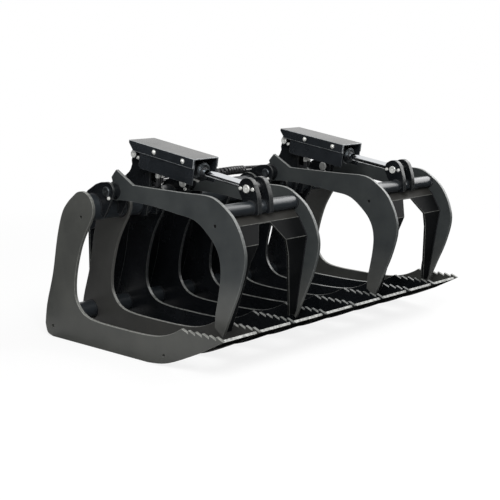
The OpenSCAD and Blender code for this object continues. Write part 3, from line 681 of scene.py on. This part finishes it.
UPRIGHT_PLATES = [
    *TINES[1:-1], "tower_left", "tower_right", "pivot_ears_left", "pivot_ears_right",
    "mount_braces", "rod_lugs_left", "rod_lugs_right",
]
OTHER_PLATES = [
    "mount_plate", "mount_hook", "mount_ledge", "bulkhead", "bulkhead_ports", "barrel_left",
    "barrel_right", "gland_left", "gland_right", "rod_eye_left", "rod_eye_right",
    "claw_hubs_left", "claw_hubs_right",
]
GROUND_EDGE, SHEET_FOLD, COVER_FOLD = 1.2 * MM, 1.6 * MM, 2.4 * MM


def make_plates():
    """Rounds the cut edges of every plate a little, and the folds of the guard covers more."""
    # The rim shares paint cut rims pale: rubbed coat, and painted highlights, most where they look up.
    for node in UPRIGHT_PLATES:
        if node in TINES:
            # The first tine's coat is painted lighter: painted light through the end plate's opening.
            paint = FIRST_TINE_PAINT if node == TINES[1] else None
            eased(node, GROUND_EDGE, 0.8, paint, rub_and_highlight=0.6)
        else:
            eased(node, GROUND_EDGE, 0.3, rub_and_highlight=0.4)
    for node in OTHER_PLATES:
        eased(node, GROUND_EDGE)
    # End plates in a lighter coat: dust, and painted light.
    for node in (TINES[0], TINES[-1]):
        eased(node, GROUND_EDGE, 0.6, END_PLATE_PAINT)
    for side in SIDES:
        for node in ("claw_" + side + "_outer", "claw_" + side + "_inner"):
            eased(node, GROUND_EDGE, 0.45, rub_and_highlight=0.7)
        eased("guard_cover_" + side, COVER_FOLD, 0.0, GUARD_PAINT, rub_and_highlight=0.7)
        eased("guard_sides_" + side, GROUND_EDGE, 0.2, GUARD_PAINT, rub_and_highlight=0.35)
        # The gussets' near-black, unreflecting coat is painted shade for the recess between the claws.
        eased("gusset_" + side, SHEET_FOLD, 0.0, SHELL_PAINT, fold=12)
        eased("cross_tube_" + side, GROUND_EDGE, 0.0, TUBE_PAINT)
    # The lip's front face is painted pale all over, as worn steel and as a painted highlight; its coat paints the
    # shade under it.
    eased("lip_plate", GROUND_EDGE, 0.0, LIP_PAINT, worn_and_lit_face=(0, -0.88, 0.47))


def new_welds(name, beads, body, closed=False):
    """Weld beads as one painted piece: rings that close, or beads that start and end."""
    new_piece(name, grids_to_mesh(name, beads, closed, True), body, "frame_paint")


def make_bowl_welds():
    """Beads round the two tubes at both faces of every tine, and along the lip under each tine."""
    rings, lines = [], []
    lip_low, lip_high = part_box("lip_plate")
    for i, node in enumerate(TINES):
        low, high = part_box(node)
        faces = [low.x] * (i > 0) + [high.x] * (i < len(TINES) - 1)
        for x in faces:
            rings.append(ring_bead(x, TUBE[1:], TUBE_R, 7))
            rings.append(ring_bead(x, REAR[1:], REAR_R, 7))
            front = (x, lip_low.y + 12 * MM, lip_high.z - 2 * MM)
            back = (x, lip_high.y - 8 * MM, lip_low.z + 12.5 * MM)
            lines.append(bead([front, back], 4))
    new_welds("tube_welds", rings, "frame", closed=True)
    new_welds("lip_welds", lines, "frame")


def make_tower_and_ear_welds():
    """Beads over the top tube at both faces of each tower plate and each pivot ear."""
    beads = []
    for side in SIDES.values():
        for plate in (-TOWER_PLATE, TOWER_PLATE):
            for face in (-TOWER_HALF, TOWER_HALF):
                x = side * ARM_X + (plate + face) * MM
                beads.append(bead(arc(x, TUBE[1:], TUBE_R, -70, 250), 8))
        for claw in (-CLAW_OUT, CLAW_OUT):
            for face in EAR_FACES:
                x = side * ARM_X + claw + face * MM
                beads.append(bead(arc(x, TUBE[1:], TUBE_R, 12, 203), 7))
    new_welds("tower_and_ear_welds", beads, "frame")


def make_mount_welds():
    """Upright beads where the braces meet the mount plate, and one along the ledge."""
    low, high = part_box("mount_plate")
    ledge_low, ledge_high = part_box("mount_ledge")
    end = 10 * MM
    beads = []
    for node in TINES[2:-2]:
        tine_low, tine_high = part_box(node)
        for x in (tine_low.x, tine_high.x):
            beads.append(bead([(x, low.y, low.z + end), (x, low.y, high.z - end)], 6))
    left = (ledge_low.x + end, high.y, ledge_high.z)
    right = (ledge_high.x - end, high.y, ledge_high.z)
    beads.append(bead([left, right], 8, (0, 0, 1)))
    new_welds("mount_welds", beads, "frame")


def make_arm_welds(side):
    """Beads of an arm: cross tube to claws, hubs to claws, lugs and gusset to what carries them."""
    middle_x = SIDES[side] * ARM_X
    inside = CLAW_OUT - CLAW_T / 2
    rings = [ring_bead(middle_x + end * inside, CROSS[1:], CROSS_R, 9) for end in (-1, 1)]
    for claw in (-CLAW_OUT, CLAW_OUT):
        for face in (-CLAW_T / 2, CLAW_T / 2):
            rings.append(ring_bead(middle_x + claw + face, PIVOT[1:], HUB_R, 6))
    new_welds("arm_tube_welds_" + side, rings, "arm_" + side, closed=True)
    beads = []
    for lug in (-LUG, LUG):
        for face in (-LUG_HALF, LUG_HALF):
            beads.append(bead(arc(middle_x + (lug + face) * MM, CROSS[1:], CROSS_R, 22, 215), 8))
    # The gusset's front line, in shares of the claw's reach and drop
    fold = np.array([[0.84, -0.152], [0.858, -0.178], [0.917, -0.319], [0.842, -0.95]])
    line = PIVOT[1:] + fold * [-CLAW_REACH, CLAW_DROP]
    for end in (-1, 1):
        beads.append(bead(np.column_stack([np.full(len(line), middle_x + end * inside), line]), 6))
    root = (CROSS[1] - 2 * MM, CROSS[2] - CROSS_R)
    beads.append(bead([(middle_x - inside, *root), (middle_x + inside, *root)], 7, (0, 0, 1)))
    new_welds("arm_plate_welds_" + side, beads, "arm_" + side)


def make_cylinder_rings(side):
    """What shows along a cylinder: its base cap's weld, a wiper in the gland, the rod eye's weld."""
    sign = SIDES[side]
    profile = [(-3, 36), (-3, 41.5), (0, 43.6), (3, 43.2), (6, 41.4), (6, 36)]
    ring = turned(profile, on_axis(sign, BASE_CAP), FORWARD, 48)
    new_welds("barrel_weld_" + side, [ring], "cylinder_" + side, closed=True)
    profile = [(-2, 17.9), (3, 17.9), (3.4, 19.5), (2.2, 22), (2.0, 25), (-2, 25)]
    ring = turned(profile, on_axis(sign, GLAND_FACE), FORWARD, 40)
    mesh = grids_to_mesh("wiper", [ring], True, True)
    new_piece("wiper_" + side, mesh, "cylinder_" + side, "hose_rubber")
    profile = [(-2, 15), (-2, 18.5), (0, 22.6), (3, 23), (6, 21.8), (6, 15)]
    ring = turned(profile, on_axis(sign, ROD_EYE_NECK), FORWARD, 40)
    new_welds("rod_weld_" + side, [ring], "piston_rod_" + side, closed=True)


# Bolts and pins


def domed_bolt(radius, height):
    """The profile of a domed head that stands on a washer, from its foot to its crown."""
    washer = height * 0.25
    rise = np.linspace(0, math.pi / 2, 7)
    dome = [(washer + (height - washer) * math.sin(a), radius * 0.8 * math.cos(a)) for a in rise]
    return [(0, 0), (0, radius), (washer * 0.8, radius), (washer, radius * 0.95), *dome]


def pin_head(radius, height):
    """The profile of a pin's head: a drum with a chamfer, a shallow dish, a grease nipple in it."""
    edge = height * 0.22
    drum = [(-height, 0), (-height, radius), (-edge, radius), (0, radius - edge), (0, radius * 0.3)]
    nipple = [(-0.8, 3.4), (-0.8, 2.2), (1.2, 2.2), (1.8, 1.4), (2.6, 1.8), (3.2, 1.1), (3.2, 0)]
    return [(height + along, around) for along, around in drum + nipple]


def drum_of(start, end, radius):
    """The profile of a plain drum from one place along its axis to another."""
    return [(start, 0), (start, radius), (end, radius), (end, 0)]


def hex_bolt(radius, height, place, outward):
    """A hexagonal head on a round washer."""
    outward = [outward, 0, 0]
    washer = [(0, 0), (0, radius), (1.4, radius), (1.8, radius * 0.95), (1.8, 0)]
    corner = radius * 0.86
    head = [(1.0, 0), (1.0, corner), (height - 1, corner), (height, corner * 0.84), (height, 0)]
    return [turned(washer, place, outward, 24), turned(head, place, outward, 6)]


def place_zinc(name, shapes, body, *replaced):
    """One zinc plated piece from several turned shapes, in place of CAD nodes."""
    piece = new_piece(name, grids_to_mesh(name, shapes, False, True), body, "zinc")
    if replaced:
        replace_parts(piece, *replaced)


def make_pivot_pins():
    """A pin through each pair of ears with a head at both ends and a zinc keeper bolt beside each.

    Each arm's left pin is painted dark in oiled steel, which is painted shade, and its right one keeps its zinc.
    """
    shaded_pins, bright = [], []
    for side in SIDES.values():
        # Painted shade: the left pin of each arm takes the dark oiled steel.
        for claw, pins in ((-CLAW_OUT, shaded_pins), (CLAW_OUT, bright)):
            x = side * ARM_X + claw
            pins.append(turned(drum_of(-56, 56, 19), at_x(PIVOT, x), [1, 0, 0]))
            for outward in (-1, 1):
                face = x + outward * EAR_FACES[-1] * MM
                pins.append(turned(pin_head(23, 8), at_x(PIVOT, face), [outward, 0, 0]))
                bright += hex_bolt(8.5, 8, at_x(PIVOT_BOLT, face), outward)
    place_zinc("pivot_pins_bright", bright, "frame", "pivot_pins")
    mesh = grids_to_mesh("pivot_pins_painted_dark", shaded_pins, False, True)
    new_piece("pivot_pins_painted_dark", mesh, "frame", "gland_metal")


def make_hole_shade_plugs(side):
    """A black plug pressed in the hole of each claw, its face sunk below the plate's: painted shade, standing for
    the dark inside the hole.
    """
    shapes = []
    half = CLAW_T / MM / 2 - 1.2
    profile = [(-half + 0.8, 0), (-half, 4), (-half, 7.9), (half, 7.9), (half, 4), (half - 0.8, 0)]
    for claw in (-CLAW_OUT, CLAW_OUT):
        place = np.array([SIDES[side] * ARM_X + claw, *SMALL_HOLES[0]])
        shapes.append(turned(profile, place, [1, 0, 0], 24))
    mesh = grids_to_mesh("hole_shade_plugs", shapes, False, True)
    new_piece("hole_shade_plugs_" + side, mesh, "arm_" + side, "sleeve_plastic", SHADE_PLUG_PLASTIC)


def make_base_pin(side):
    """The pin that carries a cylinder between its tower's plates, with its heads and keeper bolts.

    A painted collar under each head brings it out from below the guard, in the notch of its sides.
    """
    x, tall = SIDES[side] * ARM_X, 21.5
    shapes = [turned(drum_of(-38, 38, 16), at_x(BASE, x), [1, 0, 0])]
    collars = []
    for outward in (-1, 1):
        plate = x + outward * (TOWER_PLATE + TOWER_HALF) * MM
        face = plate + outward * tall * MM
        for place, radius in ((BASE, 21.5), (BASE_BOLT, 11)):
            profile = [(-1, 0), (-1, radius), (tall - 1, radius), (tall, radius - 1), (tall, 0)]
            collars.append(turned(profile, at_x(place, plate), [outward, 0, 0]))
        shapes.append(turned(pin_head(17.5, 6), at_x(BASE, face), [outward, 0, 0]))
        shapes += hex_bolt(8.5, 6, at_x(BASE_BOLT, face), outward)
    place_zinc("base_pin_turned_" + side, shapes, "frame", "base_pin_" + side)
    mesh = grids_to_mesh("base_pin_collars", collars, False, True)
    new_piece("base_pin_collars_" + side, mesh, "frame", "frame_paint")


def make_rod_pin(side):
    """The rod pin's two ends in their lugs, each with its head and the two bolts beside it."""
    x = SIDES[side] * ARM_X
    shapes = []
    for outward in (-1, 1):
        inner, face = x + outward * (LUG - LUG_HALF) * MM, x + outward * (LUG + LUG_HALF) * MM
        shank = drum_of(0, 2 * LUG_HALF, 16)
        shapes.append(turned(shank, at_x(ROD_PIN, inner), [outward, 0, 0]))
        shapes.append(turned(pin_head(18.5, 6), at_x(ROD_PIN, face), [outward, 0, 0]))
        for along in (-36, 36):
            shapes += hex_bolt(8.5, 8, at_x(ROD_PIN, face) + [0, along * MM, 0], outward)
    replaced = ("rod_pin_" + side, "rod_pin_bolts_" + side)
    place_zinc("rod_pin_turned_" + side, shapes, "arm_" + side, *replaced)


def make_guard_bolts(side):
    """Domed bolts on both sides of a guard."""
    shapes = []
    sign = SIDES[side]
    low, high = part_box("guard_cover_" + side)
    for forward in GUARD_BOLTS:
        place = on_axis(sign, forward, GUARD_BOLT_UP)
        for x, outward in ((low.x, -1), (high.x, 1)):
            shapes.append(turned(domed_bolt(11.5, 8), at_x(place, x), [outward, 0, 0]))
    place_zinc("guard_bolt_heads_" + side, shapes, "cylinder_" + side, "guard_bolts_" + side)


def make_port_fittings(side):
    """Bosses under the barrel with hexagonal adapters, and the steel line to the rod end."""
    sign = SIDES[side]
    shapes = []
    boss = [(34, 0), (34, 11), (44, 11), (45, 10.2), (45, 0)]
    hexagon = [(44.5, 0), (44.5, 10.9), (54, 10.9), (55, 9.4), (55, 0)]
    collar = [(54, 0), (54, 7.6), (58.5, 7.6), (59, 7), (59, 0)]
    ports = ((-PORT_ACROSS, BASE_PORT), (PORT_ACROSS, BASE_PORT), (-PORT_ACROSS, ROD_PORT))
    for across, forward in ports:
        centre = on_axis(sign, forward, 0, across * sign)
        for profile, count in ((boss, 28), (hexagon, 6), (collar, 24)):
            shapes.append(turned(profile, centre, -UPWARD, count))
    line_start = on_axis(sign, BASE_PORT, -50, -PORT_ACROSS * sign)
    length = ROD_PORT - BASE_PORT
    shapes.append(turned(drum_of(0, length, 5), line_start, FORWARD, 20))
    for at in (11, length - 25):
        nut = [(at, 0), (at, 8.4), (at + 13, 8.4), (at + 14, 7.2), (at + 14, 0)]
        shapes.append(turned(nut, line_start, FORWARD, 6))
    place_zinc("port_adapters_" + side, shapes, "cylinder_" + side, "port_fittings_" + side)


def make_port_collars():
    """A grooved collar on each of the two ports behind the bulkhead."""
    low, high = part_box("bulkhead_ports")
    centre_z = (low.z + high.z) / 2
    profile = [
        (-13, 0), (-13, 11.6), (-10, 12.4), (-8.6, 12.4), (-8, 11.4), (-7, 11.4), (-6.4, 12.4),
        (-3, 12.4), (-1, 11.6), (-0.2, 10.2), (-0.2, 6.4), (-5, 6), (-5, 0),
    ]
    shapes = [turned(profile, (x * MM, high.y, centre_z), [0, 1, 0], 36) for x in (-36, 36)]
    place_zinc("port_collars", shapes, "frame")


# Hoses

# A pair's middle line in metres: across from the middle, then back and up from the top tube, and
# half the pair's spread across and up. The rise is across from the middle of its arm
HOSE_RUN = np.array([
    [0.028, 0.2414, 0.066, 0, 0.012], [0.028, 0.212, 0.066, 0, 0.012],
    [0.030, 0.152, 0.070, 0, 0.011], [0.060, 0.097, 0.080, 0, 0.010],
    [0.110, 0.070, 0.086, 0, 0.010], [0.180, 0.066, 0.088, 0, 0.010],
    [0.260, 0.064, 0.087, 0, 0.010], [0.360, 0.064, 0.084, 0, 0.010],
])
HOSE_RISE = np.array([
    [-0.075, 0.064, 0.081, 0, 0.010], [-0.032, 0.066, 0.080, 0, 0.010],
    [-0.006, 0.040, 0.084, 0, 0.010], [0, -0.003, 0.094, 0, 0.010],
    [0, -0.058, 0.092, 0.002, 0.009], [0, -0.103, 0.080, 0.006, 0.008],
    [0, -0.132, 0.095, 0.011, 0.005], [0, -0.1385, 0.128, 0.015, 0],
])
HOSE_R = 9 * MM


def hose_points(sign, which):
    """The points that a hose follows, from the manifold block to its port under the barrel."""
    points = np.concatenate([HOSE_RUN, HOSE_RISE + [ARM_X, 0, 0, 0, 0]])
    across = sign * points[:, 0]
    across[len(HOSE_RUN) :] += which * points[len(HOSE_RUN) :, 3]
    height = points[:, 2] + which * points[:, 4]
    line = np.stack([across, points[:, 1], height], axis=1) + [0, TUBE[1], TUBE[2]]
    return np.concatenate([line, [on_axis(sign, BASE_PORT, PORT_DOWN, which * PORT_ACROSS)]])


def hose_lean(sign):
    """A direction that a pair's route on that side never takes."""
    return np.array([-0.45 * sign, 0.62, 0.64])


def make_hoses(side):
    """Two rubber hoses with a crimped steel end at each of their fittings."""
    sign = SIDES[side]
    crimp = [
        (0, 0), (0, 8.2), (4, 8.2), (4, 11), (8, 11), (8, 9.4), (10, 10.6), (14, 10.6), (15, 10),
        (16, 10.6), (21, 10.6), (22, 10), (23, 10.6), (30, 10.6), (32, 9.2), (32, 0),
    ]
    tubes, ferrules = [], []
    for which in (-1, 1):
        path = smooth_path(hose_points(sign, which), 8)
        tubes.append(tube(path, HOSE_R, hose_lean(sign)))
        for end, inward in ((path[0], path[1] - path[0]), (path[-1], path[-2] - path[-1])):
            ferrules.append(turned(crimp, end, inward, 24))
    mesh = grids_to_mesh("hoses", tubes, False, True)
    hoses = new_piece("hoses_" + side + "_rubber", mesh, "frame", "hose_rubber")
    mesh = grids_to_mesh("crimps", ferrules, False, True)
    crimps = new_piece("hoses_" + side + "_crimps", mesh, "frame", "zinc")
    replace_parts(hoses, "hoses_" + side)
    end = tuple(on_axis(sign, BASE_PORT, -60))
    for piece in (hoses, crimps):
        piece.parent = None
        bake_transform(piece)


def make_sleeves():
    """A flat strip wound round each pair of hoses: its section is carried along a helix.

    The helix turns once in 19 mm round the pair's middle line, and its section tapers to nothing
    at both ends.
    """
    section = np.array([(-6.5, 20.2), (6.5, 20.2), (6.2, 22.6), (0, 23.0), (-6.2, 22.6)]) * MM
    pitch = 19 * MM
    strips = []
    for sign in SIDES.values():
        centre = (hose_points(sign, -1) + hose_points(sign, 1)) / 2
        path = smooth_path(centre[3:7], 60)
        _, normal, other = path_frame(path, hose_lean(sign))
        length = distances(path)
        fine = np.linspace(0, length[-1], 900)
        path, normal, other = (
            np.stack([np.interp(fine, length, group[:, k]) for k in range(3)], axis=1)
            for group in (path, normal, other)
        )
        turn = 2 * math.pi * fine[:, None] / pitch
        outward = np.cos(turn) * normal + np.sin(turn) * other
        along = np.gradient(path, axis=0)
        along /= np.linalg.norm(along, axis=1, keepdims=True)
        strip = (
            path[:, None, :]
            + section[None, :, 1, None] * outward[:, None, :]
            + section[None, :, 0, None] * along[:, None, :]
        )
        middles = strip.mean(axis=1, keepdims=True)
        closing = middles + 0.002 * (strip - middles)
        strips.append(np.concatenate([closing[:1], strip, closing[-1:]]))
    mesh = grids_to_mesh("hose_wrap", strips, False, True)
    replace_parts(new_piece("hose_wrap", mesh, "frame", "sleeve_plastic"), "hose_sleeves")


# The studio


def mirrored(tree, path):
    """One for a ray that a glossy or a clear surface sends on, from Light Path's outputs."""
    rays = (path["Is Glossy Ray"], path["Is Transmission Ray"])
    return put(tree, "ShaderNodeMath", rays, operation="MAXIMUM").outputs[0]


def make_floor():
    """A white floor that keeps a pale shadow near the machine and is plain white further out.

    What is white of itself is a share that grows with the distance in metres, one for the camera
    and one for reflections, and the rest is paper that the lamps light.
    """
    material = bpy.data.materials.new("white seamless paper")
    material.use_nodes = True
    tree = material.node_tree
    tree.nodes.clear()
    place = put(tree, "ShaderNodeTexCoord").outputs["Object"]
    distance = put(tree, "ShaderNodeVectorMath", (place,), operation="LENGTH").outputs["Value"]
    path = put(tree, "ShaderNodeLightPath").outputs
    shares = []
    for seen, near, far, at_near in (
        (path["Is Camera Ray"], 1.8, 4.5, 0.82),
        (mirrored(tree, path), 1.2, 3.0, 0.0),
    ):
        share = put(tree, "ShaderNodeMapRange", (distance, near, far, at_near, 1.0)).outputs[0]
        shares.append(put(tree, "ShaderNodeMath", (seen, share), operation="MULTIPLY").outputs[0])
    share = put(tree, "ShaderNodeMath", shares, operation="MAXIMUM").outputs[0]
    paper = put(tree, "ShaderNodeBsdfDiffuse", (linear("#f4f4f4"),)).outputs[0]
    glow = put(tree, "ShaderNodeEmission", (linear("#ffffff"), 1.0)).outputs[0]
    mixed = put(tree, "ShaderNodeMixShader", (share, paper, glow)).outputs[0]
    put(tree, "ShaderNodeOutputMaterial", (mixed,))
    half = 20.0
    corners = [(-half, -half, 0), (half, -half, 0), (half, half, 0), (-half, half, 0)]
    mesh = bpy.data.meshes.new("floor")
    mesh.from_pydata(corners, [], [(0, 1, 2, 3)])
    mesh.materials.append(material)
    floor = bpy.data.objects.new("floor", mesh)
    scene.collection.objects.link(floor)
    floor.location.z = -1.5 * MM


def make_flags():
    """Dark cards that only reflections meet: two corners with walls, and one that lies behind.

    They keep the machine's side and front faces at their own colour, as in a workshop. Felt is
    matted wool: it shines nowhere, and its nap is drawn 3 mm wide.
    """
    material, tree, shader, place = new_material(
        "matted wool felt", Roughness=1.0, Specular_IOR_Level=0.0
    )
    nap = put(tree, "ShaderNodeTexNoise", {"Vector": place, "Scale": 300.0}).outputs["Fac"]
    inputs = {0: nap, 6: linear("#0a0a0a"), 7: linear("#161616")}
    felt = put(tree, "ShaderNodeMix", inputs, data_type="RGBA")
    feed(shader, Base_Color=felt.outputs[2])
    top = 2.4
    for name, (x, y), (far_x, far_y), walls in (
        ("rear", (-2.1, -1.2), (-7.0, 7.0), True),
        ("front", (-1.0, 0.5), (7.0, -7.0), True),
        ("behind", (-1.0, 0.8), (-2.1, 7.0), False),
    ):
        corners = [(x, y, 0), (far_x, y, 0), (far_x, far_y, 0), (x, far_y, 0)]
        faces = [(0, 1, 2, 3)]
        if walls:
            corners += [(far_x, y, top), (far_x, far_y, top), (x, far_y, top)]
            faces += [(1, 4, 5, 2), (2, 5, 6, 3)]
        mesh = bpy.data.meshes.new("flag_" + name)
        mesh.from_pydata(corners, [], faces)
        mesh.materials.append(material)
        flag = bpy.data.objects.new("flag_" + name, mesh)
        scene.collection.objects.link(flag)
        flag.location.z = -0.7 * MM
        flag.visible_camera = False
        flag.visible_diffuse = False
        flag.visible_transmission = False
        flag.visible_shadow = False


def light_the_scene():
    """A plain white surround, a soft key at the front left and a large soft light at the right."""
    world = bpy.data.worlds.new("studio")
    scene.world = world
    world.use_nodes = True
    tree = world.node_tree
    background = tree.nodes["Background"]
    background.inputs["Color"].default_value = linear("#ffffff")
    path = put(tree, "ShaderNodeLightPath").outputs
    rays = (path["Is Camera Ray"], mirrored(tree, path))
    seen = put(tree, "ShaderNodeMath", rays, operation="MAXIMUM").outputs[0]
    strength = put(tree, "ShaderNodeMapRange", (seen, 0.0, 1.0, 0.5, 1.0)).outputs[0]
    tree.links.new(strength, background.inputs["Strength"])
    soft_box("key", (-3.0, -2.6, 3.6), (0, 0, 0.4), 2.5, 190)
    soft_box("right", (5.2, -1.5, 3.2), (0, -0.3, 0.5), 5.0, 370)
    scene.view_settings.view_transform = "Standard"


def dress_plain_nodes():
    """Gives every CAD node its finish; those that a piece replaces aren't shown."""
    for node, piece in nodes.items():
        is_tube = node in ("top_tube", "rear_tube")
        piece.data.materials.clear()
        piece.data.materials.append(TUBE_PAINT if is_tube else FINISHES[slot_of[node]])


aim_camera()
dress_plain_nodes()
make_plates()
make_bowl_welds()
make_tower_and_ear_welds()
make_mount_welds()
make_pivot_pins()
make_port_collars()
for side_name in SIDES:
    make_arm_welds(side_name)
    make_cylinder_rings(side_name)
    make_base_pin(side_name)
    make_rod_pin(side_name)
    make_guard_bolts(side_name)
    make_hole_shade_plugs(side_name)
    make_port_fittings(side_name)
    make_hoses(side_name)
make_sleeves()
make_floor()
make_flags()
light_the_scene()
